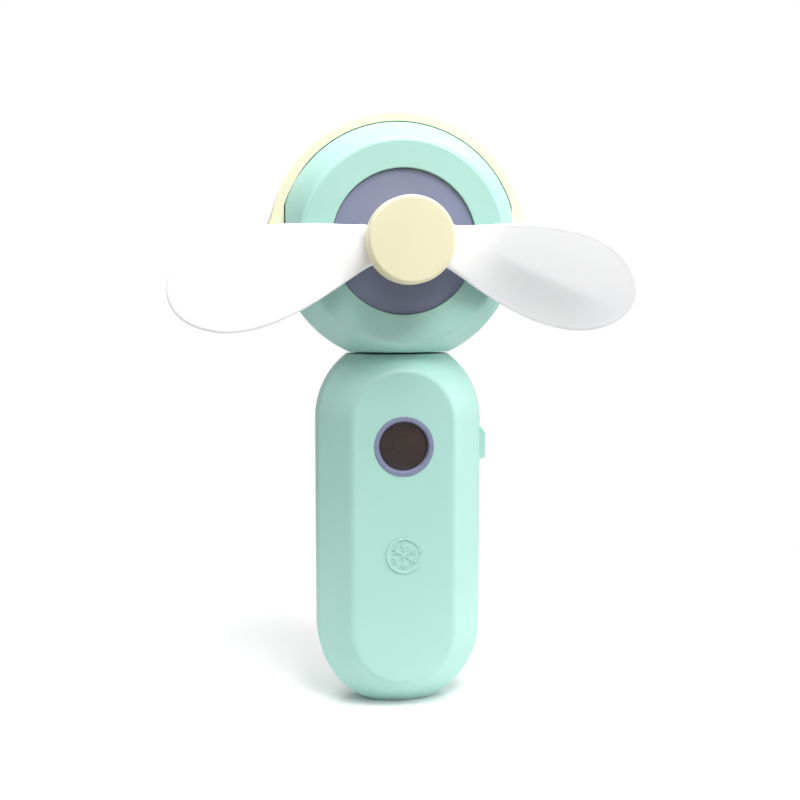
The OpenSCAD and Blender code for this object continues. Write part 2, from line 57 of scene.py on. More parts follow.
# ---------------------------------------------------------------------------------------------------------
# Sizes taken from the frame
# ---------------------------------------------------------------------------------------------------------
grip_low, grip_high = span("grip_front_shell")
head_low, head_high = span("head_front_shell")
cover_low, cover_high = span("motor_cover")
cap_low, cap_high = span("hub_cap")
bezel_low, bezel_high = span("lamp_bezel")
lens_low, lens_high = span("lamp_lens")
badge_face = span("badge")[0].y
usb_low, usb_high = span("usb_socket")
pins_low, pins_high = span("blade_pins")
bail_low, bail_high = span("bail")

grip_r = grip_high.x
grip_face = grip_low.y
grip_parting = grip_high.y
grip_back = span("grip_back_shell")[1].y
grip_top = grip_high.z
head_face = head_low.y
head_parting = head_high.y
head_back = span("head_back_shell")[1].y
head_z = (cover_low.z + cover_high.z) / 2
head_r = head_high.z - head_z
cover_r = cover_high.x
hub_r = cap_high.x
lamp_z = (bezel_low.z + bezel_high.z) / 2
pin_r = (pins_high.z - pins_low.z) / 2
blade_pin_x = pins_high.x - pin_r
waist_z = (grip_top + head_low.z) / 2

# Sizes that the maker's drawing gives and the frame's boxes don't show
foot_half = 6.9
waist_half = 11.7
grip_band = 4
grip_bevel = 7.6
head_band = 4
head_bevel = 4.7
head_flat_x = 27.3
foot_arc_z = math.sqrt(grip_r ** 2 - foot_half ** 2)
top_arc_z = waist_z - math.sqrt(grip_r ** 2 - waist_half ** 2)
blade_reach = 56.2
blade_widest = 39
blade_half = 11.9
blade_root_half = 5
blade_eye_r = 3.4
blade_mid_y = -17.4
bail_pin_r = 1.2
bail_pin_head_r = 2.7
bail_hollow_r = 29.2
strap_low = 8
ear_high = 11
ear_widest_high = 4.4
ear_widest_low = -3.6
ear_low = -6
blade_droop = math.radians(15.5)
blade_pitch = math.radians(11)


# ---------------------------------------------------------------------------------------------------------
# Materials
# ---------------------------------------------------------------------------------------------------------
def linear(hex_colour):
    """An sRGB hex colour as linear light."""
    parts = [int(hex_colour[i:i + 2], 16) / 255 for i in (1, 3, 5)]
    return [*(c / 12.92 if c <= 0.04045 else ((c + 0.055) / 1.055) ** 2.4 for c in parts), 1]


def add(tree, kind, links=(), values=(), **settings):
    """Adds one node, with its settings, its sockets' values and its links."""
    node = tree.nodes.new("ShaderNode" + kind)
    for name, value in settings.items():
        setattr(node, name, value)
    for socket, value in values:
        node.inputs[socket].default_value = value
    for socket, source in links:
        tree.links.new(source, node.inputs[socket])
    return node


def finish_of(name, colour, **surface):
    """A new material with its shader's constants set, and its tree, shader and Object coordinates."""
    material = bpy.data.materials.new(name)
    material.use_nodes = True
    tree = material.node_tree
    shader = tree.nodes["Principled BSDF"]
    shader.inputs["Base Color"].default_value = linear(colour)
    for socket, value in surface.items():
        shader.inputs[socket.replace("_", " ")].default_value = value
    place = add(tree, "TexCoord").outputs["Object"]
    return material, tree, shader, place


def per_mm(size):
    """A pattern's scale on Object coordinates for one feature every so many millimetres."""
    return 1 / (size * MM)


def drift(tree, place, shader, light, dark, size):
    """Lets the colour drift between two shades over patches of a given size, as melt flow leaves it."""
    cloud = add(tree, "TexNoise", [("Vector", place)], [("Scale", per_mm(size)), ("Detail", 2)])
    ramp = add(tree, "ValToRGB", [("Fac", cloud.outputs["Fac"])])
    ramp.color_ramp.elements[0].position = 0.35
    ramp.color_ramp.elements[0].color = linear(dark)
    ramp.color_ramp.elements[1].position = 0.65
    ramp.color_ramp.elements[1].color = linear(light)
    tree.links.new(ramp.outputs["Color"], shader.inputs["Base Color"])
    return ramp


def uneven_gloss(tree, place, shader, glossy, dull, size):
    """Lets the roughness wander between two values over patches of a given size."""
    patches = add(tree, "TexNoise", [("Vector", place)], [("Scale", per_mm(size)), ("Detail", 3)])
    between = add(
        tree, "MapRange", [("Value", patches.outputs["Fac"])],
        [("From Min", 0.3), ("From Max", 0.7), ("To Min", glossy), ("To Max", dull)],
    )
    tree.links.new(between.outputs["Result"], shader.inputs["Roughness"])


def grain(tree, place, shader, size, height, share=1.0):
    """A fine raised grain of a given size and height, both in millimetres."""
    pebbles = add(tree, "TexNoise", [("Vector", place)], [("Scale", per_mm(size)), ("Detail", 4), ("Roughness", 0.6)])
    bump = add(
        tree, "Bump", [("Height", pebbles.outputs["Fac"])], [("Distance", height * MM), ("Strength", share)],
    )
    tree.links.new(bump.outputs["Normal"], shader.inputs["Normal"])
    return bump


def satin_abs(name, light, dark, glossy, dull):
    """ABS moulded in a spark-eroded tool: an even pastel with a soft, broad highlight."""
    material, tree, shader, place = finish_of(name, light, IOR=1.53, Specular_IOR_Level=0.45)
    drift(tree, place, shader, light, dark, 22)
    uneven_gloss(tree, place, shader, glossy, dull, 7)
    # The tool's grain is about 0.1 mm; it is drawn at 0.5 mm so that it shows at all.
    grain(tree, place, shader, 0.5, 0.006)
    return material


# Mint ABS of the grip and head: satin, so that chamfers read by their tone and not by sharp reflections.
mint_abs = satin_abs("mint_satin_abs", "#add9ce", "#aad7cb", 0.36, 0.44)
# The button and badge come from the same tool family, a little glossier where fingers touch them.
mint_gloss = satin_abs("mint_polished_abs", "#afdbd0", "#acd9cd", 0.26, 0.34)
# Cream ABS of the hub: a warmer plastic with a slightly wetter shine.
cream_abs = satin_abs("cream_satin_abs", "#efe9c6", "#ece5c1", 0.30, 0.38)
# The bail's cream ABS, the hub's plastic, painted paler than the hub as painted light: the lighter colour stands in
# for the strong light that falls on the bail's top.
cream_abs_painted_paler = satin_abs("cream_satin_abs_painted_paler", "#f5f2d3", "#f2efcd", 0.30, 0.38)
# Slate ABS of the motor cover and lamp ring: darker, so that its broad highlight shows more.
slate_abs = satin_abs("slate_satin_abs", "#8388a3", "#7f849f", 0.34, 0.42)


def soft_polypropylene():
    """Polypropylene of the blades: milky, flexible and faintly see-through, with a smooth waxy sheen."""
    material, tree, shader, place = finish_of(
        "white_moulded_polypropylene", "#fbfbfc", IOR=1.49, Subsurface_Weight=0.15, Subsurface_Scale=0.002,
        Specular_IOR_Level=0.4,
    )
    shader.inputs["Subsurface Radius"].default_value = (1, 0.95, 0.9)
    drift(tree, place, shader, "#fbfbfc", "#f7f7f9", 14)
    uneven_gloss(tree, place, shader, 0.3, 0.38, 9)
    # Flow lines of the melt, 3 mm apart, barely raised.
    grain(tree, place, shader, 3, 0.01, 0.6)
    return material


blade_white = soft_polypropylene()


def smoked_polycarbonate():
    """Clear polycarbonate tinted smoky brown and polished: dark, see-through and glassy."""
    material, tree, shader, place = finish_of(
        "smoked_polished_polycarbonate", "#6e544e", IOR=1.585, Transmission_Weight=0.82,
    )
    drift(tree, place, shader, "#6e544e", "#664e4a", 5)
    uneven_gloss(tree, place, shader, 0.03, 0.07, 4)
    return material


smoked_lens = smoked_polycarbonate()


def metal(name, light, dark, glossy, dull, patch, grain_size, grain_height):
    """A bare metal: its colour and its gloss both wander a little, over a fine surface grain."""
    material, tree, shader, place = finish_of(name, light, Metallic=1.0)
    drift(tree, place, shader, light, dark, patch)
    uneven_gloss(tree, place, shader, glossy, dull, patch / 2)
    grain(tree, place, shader, grain_size, grain_height)
    return material


# Zinc-plated steel of the screws, cans and tabs: pale, slightly blue, with a cloudy shine.
zinc_steel = metal("zinc_plated_steel", "#c8ccd0", "#b4b9be", 0.24, 0.36, 1.5, 0.4, 0.004)
# Ground stainless of the shaft and pins: brighter and smoother, with a fine turned grain.
ground_steel = metal("ground_stainless_steel", "#d3d5d7", "#c5c8cb", 0.14, 0.22, 1.0, 0.25, 0.002)
# Sintered bronze of the bushes: dull gold with open pores.
sintered_bronze = metal("sintered_bronze", "#c39a55", "#a47e43", 0.42, 0.55, 0.8, 0.3, 0.02)
# Vacuum-metallised plastic of the reflector: almost a mirror.
metallised_reflector = metal("metallised_reflector", "#e6e6e4", "#dededc", 0.06, 0.1, 3, 0.6, 0.001)


# Gold flash of the socket's contacts: warm, bright and thin.
gold_flash = metal("gold_flashed_contacts", "#d9b25f", "#c79f4c", 0.2, 0.3, 0.8, 0.3, 0.002)


def wound_copper():
    """Enamelled copper wire wound on the armature: thin bands, one wire wide, with a varnished shine. Each band
    carries painted shade where the wires dip between turns and a painted highlight on its crown.
    """
    material, tree, shader, place = finish_of(
        "enamelled_copper_winding", "#b5713a", Metallic=0.9, Roughness=0.3, Coat_Weight=0.5, Coat_Roughness=0.1,
    )
    # 0.3 mm wire is drawn at 0.6 mm so that the bands show.
    wires = add(
        tree, "TexWave", [("Vector", place)], [("Scale", per_mm(0.6) / 20), ("Distortion", 0.4)],
        bands_direction="Z",
    )
    # Painted shade and highlight: the copper is darkened in the grooves between turns and lightened on the crowns of
    # the wires.
    ramp = add(tree, "ValToRGB", [("Fac", wires.outputs["Fac"])])
    ramp.color_ramp.elements[0].color = linear("#7d4820")
    ramp.color_ramp.elements[1].color = linear("#c9854a")
    tree.links.new(ramp.outputs["Color"], shader.inputs["Base Color"])
    bump = add(tree, "Bump", [("Height", wires.outputs["Fac"])], [("Distance", 0.08 * MM)])
    tree.links.new(bump.outputs["Normal"], shader.inputs["Normal"])
    return material


copper_winding = wound_copper()


def sintered_ferrite():
    """Ferrite of the magnets: charcoal, matt and finely pitted from the press."""
    material, tree, shader, place = finish_of("sintered_ferrite", "#45474b", IOR=1.6)
    drift(tree, place, shader, "#4a4c50", "#3b3d41", 2)
    uneven_gloss(tree, place, shader, 0.6, 0.75, 1.5)
    grain(tree, place, shader, 0.4, 0.03)
    return material


ferrite = sintered_ferrite()


def solder_masked_board():
    """Glass-epoxy board under green solder mask: glossy, with tracks showing as a lighter green."""
    material, tree, shader, place = finish_of(
        "solder_masked_board", "#2b6846", IOR=1.5, Roughness=0.28, Coat_Weight=0.3, Coat_Roughness=0.15,
    )
    # Tracks are drawn as cells about 2.5 mm across, with edges 0.3 mm wide.
    tracks = add(
        tree, "TexVoronoi", [("Vector", place)], [("Scale", per_mm(2.5))], feature="DISTANCE_TO_EDGE",
        distance="EUCLIDEAN",
    )
    ramp = add(tree, "ValToRGB", [("Fac", tracks.outputs["Distance"])])
    ramp.color_ramp.elements[0].position = 0.05
    ramp.color_ramp.elements[0].color = linear("#4c8f63")
    ramp.color_ramp.elements[1].position = 0.1
    ramp.color_ramp.elements[1].color = linear("#286243")
    tree.links.new(ramp.outputs["Color"], shader.inputs["Base Color"])
    bump = add(tree, "Bump", [("Height", tracks.outputs["Distance"])], [("Distance", 0.03 * MM), ("Strength", 0.5)])
    tree.links.new(bump.outputs["Normal"], shader.inputs["Normal"])
    return material


board_green = solder_masked_board()


def black_nylon():
    """Glass-filled nylon of the switch, motor end cap and socket tongue: black, with pale fibre flecks."""
    material, tree, shader, place = finish_of("glass_filled_black_nylon", "#26282c", IOR=1.53)
    flecks = add(tree, "TexNoise", [("Vector", place)], [("Scale", per_mm(0.5)), ("Detail", 5)])
    ramp = add(tree, "ValToRGB", [("Fac", flecks.outputs["Fac"])])
    ramp.color_ramp.elements[0].position = 0.5
    ramp.color_ramp.elements[0].color = linear("#222428")
    ramp.color_ramp.elements[1].position = 0.78
    ramp.color_ramp.elements[1].color = linear("#3c3f45")
    tree.links.new(ramp.outputs["Color"], shader.inputs["Base Color"])
    uneven_gloss(tree, place, shader, 0.45, 0.6, 2)
    grain(tree, place, shader, 0.3, 0.01)
    return material


nylon_black = black_nylon()


def open_cell_foam():
    """Polyurethane foam of the battery pad: dark grey, matt and full of small open cells, with painted shade darkening
    the middle of each cell.
    """
    material, tree, shader, place = finish_of("open_cell_foam", "#3a3a3e", IOR=1.45, Roughness=0.95)
    cells = add(tree, "TexVoronoi", [("Vector", place)], [("Scale", per_mm(0.8))])
    # Painted shade: each open cell is darker towards its middle, where its pit lies.
    ramp = add(tree, "ValToRGB", [("Fac", cells.outputs["Distance"])])
    ramp.color_ramp.elements[0].color = linear("#242427")
    ramp.color_ramp.elements[1].color = linear("#4b4b50")
    tree.links.new(ramp.outputs["Color"], shader.inputs["Base Color"])
    bump = add(tree, "Bump", [("Height", cells.outputs["Distance"])], [("Distance", 0.3 * MM)])
    tree.links.new(bump.outputs["Normal"], shader.inputs["Normal"])
    return material


foam_grey = open_cell_foam()


def shrink_sleeve():
    """PVC sleeve shrunk on the battery cell: glossy blue, with faint rings where it drew tight."""
    material, tree, shader, place = finish_of("shrunk_pvc_sleeve", "#4775ad", IOR=1.53)
    drift(tree, place, shader, "#4a79b2", "#416fa6", 8)
    uneven_gloss(tree, place, shader, 0.2, 0.3, 4)
    rings = add(
        tree, "TexWave", [("Vector", place)], [("Scale", per_mm(6) / 20), ("Distortion", 3), ("Detail", 2)],
        bands_direction="Z",
    )
    bump = add(tree, "Bump", [("Height", rings.outputs["Fac"])], [("Distance", 0.05 * MM), ("Strength", 0.5)])
    tree.links.new(bump.outputs["Normal"], shader.inputs["Normal"])
    return material


cell_blue = shrink_sleeve()


def silicone_leads():
    """Silicone insulation of the motor's two leads: matt, the right one red and the left one black."""
    material, tree, shader, place = finish_of("silicone_lead_insulation", "#c43b34", IOR=1.41)
    sides = add(tree, "SeparateXYZ", [("Vector", place)])
    right = add(tree, "Math", [(0, sides.outputs["X"])], [(1, 0.0)], operation="GREATER_THAN")
    ramp = add(tree, "ValToRGB", [("Fac", right.outputs["Value"])])
    ramp.color_ramp.elements[0].color = linear("#29292c")
    ramp.color_ramp.elements[1].color = linear("#c2372f")
    tree.links.new(ramp.outputs["Color"], shader.inputs["Base Color"])
    uneven_gloss(tree, place, shader, 0.5, 0.62, 2)
    grain(tree, place, shader, 0.4, 0.004)
    return material


lead_sleeve = silicone_leads()


def phosphor_emitter():
    """The lamp's emitter: yellow phosphor under clear silicone, on a white ceramic base."""
    material, tree, shader, place = finish_of(
        "phosphor_on_ceramic", "#f0e6b8", IOR=1.5, Coat_Weight=0.6, Coat_Roughness=0.05,
    )
    drift(tree, place, shader, "#f4f0d8", "#e9d27a", 1.2)
    uneven_gloss(tree, place, shader, 0.35, 0.5, 1)
    return material


led_phosphor = phosphor_emitter()

MADE_OF = {
    "zinc": (zinc_steel, ["grip_screws", "head_screws", "board_screws", "battery_tabs", "motor_can", "motor_screws"]),
    "ground": (ground_steel, ["tilt_pin", "bail_pins", "motor_shaft", "blade_pins", "hub_screw"]),
    "bronze": (sintered_bronze, ["motor_bushes"]),
    "mirror": (metallised_reflector, ["lamp_reflector"]),
    "copper": (copper_winding, ["motor_armature"]),
    "ferrite": (ferrite, ["motor_magnets"]),
    "board": (board_green, ["main_board", "usb_board"]),
    "nylon": (nylon_black, ["control_chips", "button_switch", "motor_end_cap"]),
    "foam": (foam_grey, ["battery_pad"]),
    "sleeve": (cell_blue, ["battery_cell"]),
    "leads": (lead_sleeve, ["motor_leads"]),
    "phosphor": (led_phosphor, ["lamp_led"]),
    "cream": (cream_abs, ["hub_base"]),
}
for material, nodes in MADE_OF.values():
    for node in nodes:
        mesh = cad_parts[node].data
        mesh.materials.clear()
        mesh.materials.append(material)


# ---------------------------------------------------------------------------------------------------------
# Mesh work, in millimetres
# ---------------------------------------------------------------------------------------------------------
def merged(node):
    """A copy of a CAD node with its corners merged and its flat faces whole again."""
    bm = bmesh.new()
    bm.from_mesh(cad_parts[node].data)
    bmesh.ops.scale(bm, vec=(1 / MM,) * 3, verts=bm.verts)
    bmesh.ops.remove_doubles(bm, verts=bm.verts, dist=0.002)
    bmesh.ops.dissolve_limit(bm, angle_limit=math.radians(0.2), verts=bm.verts, edges=bm.edges)
    return bm


def soften(bm, width, segments, chosen, least=20):
    """Rounds the chosen edges that turn by more than the least angle, in degrees."""
    turning = [e for e in bm.edges if e.calc_face_angle(0) > math.radians(least)]
    edges = [e for e in turning if all(chosen(v.co) for v in e.verts)]
    bmesh.ops.bevel(
        bm, geom=edges, offset=width, offset_type="OFFSET", segments=segments, profile=0.5, affect="EDGES",
        clamp_overlap=True, material=-1,
    )


def piece(name, bm, body, material, replaced, crease=32):
    """Scales a finished mesh to metres, gives it its material, and hangs it on its body."""
    for face in bm.faces:
        face.smooth = True
    for edge in bm.edges:
        edge.smooth = edge.calc_face_angle(0) < math.radians(crease)
    bmesh.ops.scale(bm, vec=(MM,) * 3, verts=bm.verts)
    mesh = bpy.data.meshes.new(name)
    bm.to_mesh(mesh)
    bm.free()
    mesh.materials.append(material)
    made = bpy.data.objects.new(name, mesh)
    bpy.context.scene.collection.objects.link(made)
    weighted = made.modifiers.new("even shading", "WEIGHTED_NORMAL")
    weighted.keep_sharp = True
    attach(made, body)
    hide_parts(replaced)
    return made


def turned(profile, z, segments=96):
    """A body turned about a line along Y at a height z, from a profile of radius and depth, closed at both ends."""
    bm = bmesh.new()
    corners = [bm.verts.new((radius, depth, z)) for radius, depth in profile]
    for one, two in zip(corners, corners[1:]):
        bm.edges.new((one, two))
    bmesh.ops.spin(
        bm, geom=bm.verts[:] + bm.edges[:], cent=(0, 0, z), axis=(0, 1, 0), dvec=(0, 0, 0), angle=2 * math.pi,
        steps=segments, use_merge=True, use_duplicate=False,
    )
    bmesh.ops.remove_doubles(bm, verts=bm.verts, dist=0.0005)
    bmesh.ops.recalc_face_normals(bm, faces=bm.faces)
    return bm


def rounded(corners, fillets, steps=4):
    """A profile of radius and depth with its named corners turned into arcs of the given radii."""
    path = []
    for i, corner in enumerate(corners):
        radius = fillets.get(i)
        here = Vector(corner)
        if not radius:
            path.append(tuple(here))
            continue
        back, ahead = Vector(corners[i - 1]) - here, Vector(corners[i + 1]) - here
        back.normalize()
        ahead.normalize()
        half = back.angle(ahead) / 2
        middle = here + (back + ahead).normalized() * radius / math.sin(half)
        start, end = here + back * radius / math.tan(half), here + ahead * radius / math.tan(half)
        for step in range(steps + 1):
            point = start.lerp(end, step / steps) - middle
            path.append(tuple(middle + point.normalized() * radius))
    return path


def combined(body, tool, operation="DIFFERENCE"):
    """One closed body with another taken away from it, or joined to it."""
    work = []
    for bm in (body, tool):
        mesh = bpy.data.meshes.new("work")
        bm.to_mesh(mesh)
        bm.free()
        work.append(bpy.data.objects.new("work", mesh))
        bpy.context.scene.collection.objects.link(work[-1])
    cut = work[0].modifiers.new("cut", "BOOLEAN")
    cut.object, cut.operation, cut.solver = work[1], operation, "EXACT"
    result = bmesh.new()
    result.from_object(work[0], bpy.context.evaluated_depsgraph_get())
    for used in work:
        mesh = used.data
        bpy.data.objects.remove(used)
        bpy.data.meshes.remove(mesh)
    return result


def bars(places, radius, front, back, segments=40):
    """Round bars along Y at the given places across and up."""
    bm = bmesh.new()
    for x, z in places:
        middle = Matrix.Translation((x, (front + back) / 2, z)) @ Matrix.Rotation(math.pi / 2, 4, "X")
        bmesh.ops.create_cone(
            bm, cap_ends=True, segments=segments, radius1=radius, radius2=radius, depth=back - front, matrix=middle,
        )
    return bm


# ---------------------------------------------------------------------------------------------------------
# Grip
# ---------------------------------------------------------------------------------------------------------
def from_spine(co):
    """Distance of a point from the grip's middle line, seen from the front."""
    nearest = min(max(co.z, foot_arc_z), top_arc_z)
    return math.hypot(co.x, co.z - nearest)


def near(value, wanted, within=0.02):
    """Whether a value lies close to the one wanted."""
    return abs(value - wanted) < within


def grip_shell(node, face):
    """One moulded half of the grip: soft panel and band edges, a crisp parting line, eased ends."""
    bm = merged(node)
    panel_reach = grip_r - grip_bevel
    band = math.copysign(grip_band, face)
    soften(bm, 0.85, 4, lambda co: near(co.y, face) and near(from_spine(co), panel_reach, 0.1))
    if face < 0:
        soften(bm, 1.5, 5, lambda co: near(co.y, band) and from_spine(co) > grip_r - 1.3)
    soften(bm, 0.4, 3, lambda co: near(co.z, 0) and abs(co.x) > 5 or near(co.z, 0) and abs(co.y) > 3)
    soften(bm, 0.35, 3, lambda co: near(co.z, grip_top) and (abs(co.x) > 4 or abs(co.y) > 4))
    soften(bm, 0.14, 2, lambda co: near(co.y, grip_parting) and from_spine(co) > grip_r - 1.4)
    return bm


piece("grip_front", grip_shell("grip_front_shell", grip_face), "grip", mint_abs, "grip_front_shell")
piece("grip_back", grip_shell("grip_back_shell", grip_back), "grip", mint_abs, "grip_back_shell")


def slot_block(width, height, low, high, steps=12):
    """A block along Z whose outline is a slot with round ends."""
    bm = bmesh.new()
    bow, flat = height / 2, (width - height) / 2
    ends = [(1, -90), (-1, 90)]
    turns = [(side, math.radians(start + 180 * i / steps)) for side, start in ends for i in range(steps + 1)]
    outline = [(side * flat + bow * math.cos(turn), bow * math.sin(turn)) for side, turn in turns]
    floor = bm.faces.new([bm.verts.new((x, y, low)) for x, y in outline])
    made = bmesh.ops.extrude_face_region(bm, geom=[floor])["geom"]
    bmesh.ops.translate(bm, vec=(0, 0, high - low), verts=[v for v in made if isinstance(v, bmesh.types.BMVert)])
    bmesh.ops.recalc_face_normals(bm, faces=bm.faces)
    return bm


def box_block(low, high):
    """A square-cornered block from its lowest and highest corners."""
    bm = bmesh.new()
    bmesh.ops.create_cube(bm, size=1)
    size, middle = Vector(high) - Vector(low), (Vector(high) + Vector(low)) / 2
    bmesh.ops.scale(bm, vec=size, verts=bm.verts)
    bmesh.ops.translate(bm, vec=middle, verts=bm.verts)
    return bm


def socket_can():
    """The socket's drawn steel can, with a rolled mouth."""
    width, height = usb_high.x - usb_low.x, usb_high.y - usb_low.y
    bm = combined(
        slot_block(width, height, usb_low.z, usb_high.z),
        slot_block(width - 0.6, height - 0.6, usb_low.z - 1, usb_high.z - 0.7),
    )
    soften(bm, 0.1, 2, lambda co: near(co.z, usb_low.z), 40)
    soften(bm, 0.25, 3, lambda co: near(co.z, usb_high.z), 40)
    return bm


def socket_tongue():
    """The socket's tongue, thinned at its mouth."""
    bm = box_block((-3.3, -0.35, usb_low.z + 0.9), (3.3, 0.35, usb_high.z - 0.65))
    soften(bm, 0.16, 2, lambda co: near(co.z, usb_low.z + 0.9), 40)
    return bm


def socket_contacts():
    """Six raised contacts on each face of the tongue."""
    bm = bmesh.new()
    for side in (-1, 1):
        for place in range(6):
            x, y = (place - 2.5) * 0.95, side * 0.345
            strip = box_block(
                (x - 0.22, y - 0.035, usb_low.z + 1.5), (x + 0.22, y + 0.035, usb_high.z - 1.3),
            )
            soften(strip, 0.02, 1, lambda co: abs(co.y) > 0.37, 40)
            part = bpy.data.meshes.new("work")
            strip.to_mesh(part)
            strip.free()
            bm.from_mesh(part)
            bpy.data.meshes.remove(part)
    return bm


piece("socket_can", socket_can(), "grip", zinc_steel, "usb_socket")
piece("socket_tongue", socket_tongue(), "grip", nylon_black, "usb_socket")
piece("socket_contacts", socket_contacts(), "grip", gold_flash, "usb_socket")


def lamp_ring():
    """The slate ring round the lamp: a flat land between a rounded rim and a slope down to the lens."""
    lip = bezel_low.y
    seat = grip_face + 1.2
    corners = [
        (lens_high.x, lens_high.y), (lens_high.x, lens_low.y - 0.1), (lens_high.x + 0.3, lip),
        (bezel_high.x, lip), (bezel_high.x, seat), (lens_high.x + 0.25, seat), (lens_high.x + 0.25, lens_high.y),
        (lens_high.x, lens_high.y),
    ]
    return turned(rounded(corners, {2: 0.12, 3: 0.2}), lamp_z)


def lamp_window():
    """The smoked lens, slightly crowned."""
    front, back, edge = lens_low.y, lens_high.y, lens_high.x - 0.02
    crown = [(edge * math.sin(a), front + 0.28 * (1 - math.cos(a))) for a in [math.pi / 2 * i / 10 for i in range(11)]]
    profile = [(0, front)] + crown[1:-1] + [(edge, front + 0.28), (edge, back), (0, back)]
    return turned(profile, lamp_z)


piece("lamp_ring", lamp_ring(), "grip", slate_abs, "lamp_bezel")
piece("lamp_window", lamp_window(), "grip", smoked_lens, "lamp_lens")


def raised_badge():
    """The round badge: a ring and a six-armed cooling mark, with eased edges."""
    bm = merged("badge")
    soften(bm, 0.08, 2, lambda co: near(co.y, badge_face, 0.01), 40)
    return bm


piece("badge_relief", raised_badge(), "grip", mint_gloss, "badge")


def thumb_button():
    """The side button, rounded where the thumb meets it."""
    bm = merged("side_button")
    soften(bm, 0.55, 4, lambda co: co.x > grip_r - 0.6, 8)
    return bm


piece("thumb_button", thumb_button(), "button", mint_gloss, "side_button")


# ---------------------------------------------------------------------------------------------------------
# Head
# ---------------------------------------------------------------------------------------------------------
def from_hub(co):
    return math.hypot(co.x, co.z - head_z)


def head_shell(node, face):
    """One moulded half of the head: a soft face edge and band edge, and a crisp parting line."""
    bm = merged(node)
    band = math.copysign(head_band, face)
    soften(bm, 1.0, 4, lambda co: near(co.y, face) and near(from_hub(co), head_r - head_bevel, 0.1))
    if face < 0:
        soften(bm, 0.45, 3, lambda co: near(co.y, band) and from_hub(co) > head_r - 0.9)
        soften(bm, 0.3, 3, lambda co: near(co.y, face) and near(from_hub(co), cover_r + 0.05, 0.1))
    soften(bm, 0.35, 3, lambda co: near(co.z, head_low.z) and (abs(co.x) > 4 or abs(co.y) > 4))
    soften(bm, 0.14, 2, lambda co: near(co.y, head_parting) and from_hub(co) > head_r - 0.9)
    return bm


piece("head_front", head_shell("head_front_shell", head_face), "head", mint_abs, "head_front_shell", 22)
piece("head_rear", head_shell("head_back_shell", head_back), "head", mint_abs, "head_back_shell", 22)


def cover_disc():
    """The slate motor cover, with an eased rim."""
    bm = merged("motor_cover")
    soften(bm, 0.2, 2, lambda co: near(co.y, cover_low.y) and from_hub(co) > cover_r - 0.2)
    return bm


piece("cover_disc", cover_disc(), "head", slate_abs, "motor_cover")


def plate(corners, front, back):
    """A flat plate from its corners seen from the front, between two depths."""
    bm = bmesh.new()
    face = bm.faces.new([bm.verts.new((x, front, z)) for x, z in corners])
    made = bmesh.ops.extrude_face_region(bm, geom=[face])["geom"]
    bmesh.ops.translate(bm, vec=(0, back - front, 0), verts=[v for v in made if isinstance(v, bmesh.types.BMVert)])
    bmesh.ops.recalc_face_normals(bm, faces=bm.faces)
    return bm


def across(x, radius, length, z, segments=40):
    """A round bar along X, centred on x."""
    bm = bmesh.new()
    middle = Matrix.Translation((x, 0, z)) @ Matrix.Rotation(math.pi / 2, 4, "Y")
    bmesh.ops.create_cone(
        bm, cap_ends=True, segments=segments, radius1=radius, radius2=radius, depth=length, matrix=middle,
    )
    return bm


def swing_bail():
    """The cream bail: a round strap over the head, with a tapered ear at each end that its pin passes through."""
    outer = bail_high.z - head_z
    ear_out, ear_in = bail_high.x, head_flat_x + 0.3
    front, back = bail_low.y, bail_high.y
    # Its inner face is hollowed from front to back, so that the strap clears the head's band as it swings.
    hollow = [(math.sqrt(bail_hollow_r ** 2 - depth ** 2), depth) for depth in (front, front / 2, 0, back / 2, back)]
    corners = [hollow[2], hollow[1], hollow[0], (outer, front), (outer, back), hollow[4], hollow[3], hollow[2]]
    bm = turned(rounded(corners, {2: 0.15, 3: 0.4, 4: 0.4, 5: 0.15}), head_z, 192)
    cut = bmesh.ops.bisect_plane(
        bm, geom=bm.verts[:] + bm.edges[:] + bm.faces[:], plane_co=(0, 0, head_z + strap_low), plane_no=(0, 0, -1),
        clear_outer=True,
    )
    bmesh.ops.holes_fill(bm, edges=[e for e in cut["geom_cut"] if isinstance(e, bmesh.types.BMEdge)], sides=0)
    bmesh.ops.recalc_face_normals(bm, faces=bm.faces)
    for side in (-1, 1):
        ear = plate(
            [(side * x, head_z + up) for x, up in (
                (ear_in, ear_high), (outer - 2.1, ear_high), (ear_out, ear_widest_high), (ear_out, ear_widest_low),
                (ear_out - 0.8, ear_low), (ear_in, ear_low),
            )],
            front, back,
        )
        soften(ear, 1.1, 4, lambda co: abs(co.x) > outer - 1.9 and co.z < head_z + ear_high - 1, 15)
        bm = combined(bm, ear, "UNION")
    for side in (-1, 1):
        bm = combined(bm, across(side * ear_out, bail_pin_r + 0.06, 12, head_z))
        bm = combined(bm, across(side * ear_out, bail_pin_head_r, 2, head_z, 56))
    return bm


# The bail's paler cream is painted light, standing in for the strong light on its top.
piece("swing_bail", swing_bail(), "bail", cream_abs_painted_paler, "bail")


# ---------------------------------------------------------------------------------------------------------
# Rotor
# ---------------------------------------------------------------------------------------------------------
def hub_crown():
    """The hub cap: a flat face with a rounded edge, a straight side, a fine groove and a wider foot ring."""
    front, back = cap_low.y, cap_high.y
    side = hub_r - 0.12
    corners = [
        (0, front), (side, front), (side, back - 1.5), (side - 0.2, back - 1.4), (side - 0.2, back - 1.25),
        (hub_r, back - 1.15), (hub_r, back), (0, back),
    ]
    bm = turned(rounded(corners, {1: 0.8, 5: 0.25, 6: 0.25}, 5), head_z, 128)
    bm = combined(bm, bars([(-blade_pin_x, head_z), (blade_pin_x, head_z)], pin_r + 0.01, back - 2.4, back + 1))
    return combined(bm, bars([(0, head_z)], 0.61, back - 2.41, back + 1, 24))


piece("hub_crown", hub_crown(), "rotor", cream_abs, "hub_cap")


def blend(low, high, value):
    """0 below low, 1 above high, and a smooth step between."""
    t = min(max((value - low) / (high - low), 0), 1)
    return t * t * (3 - 2 * t)


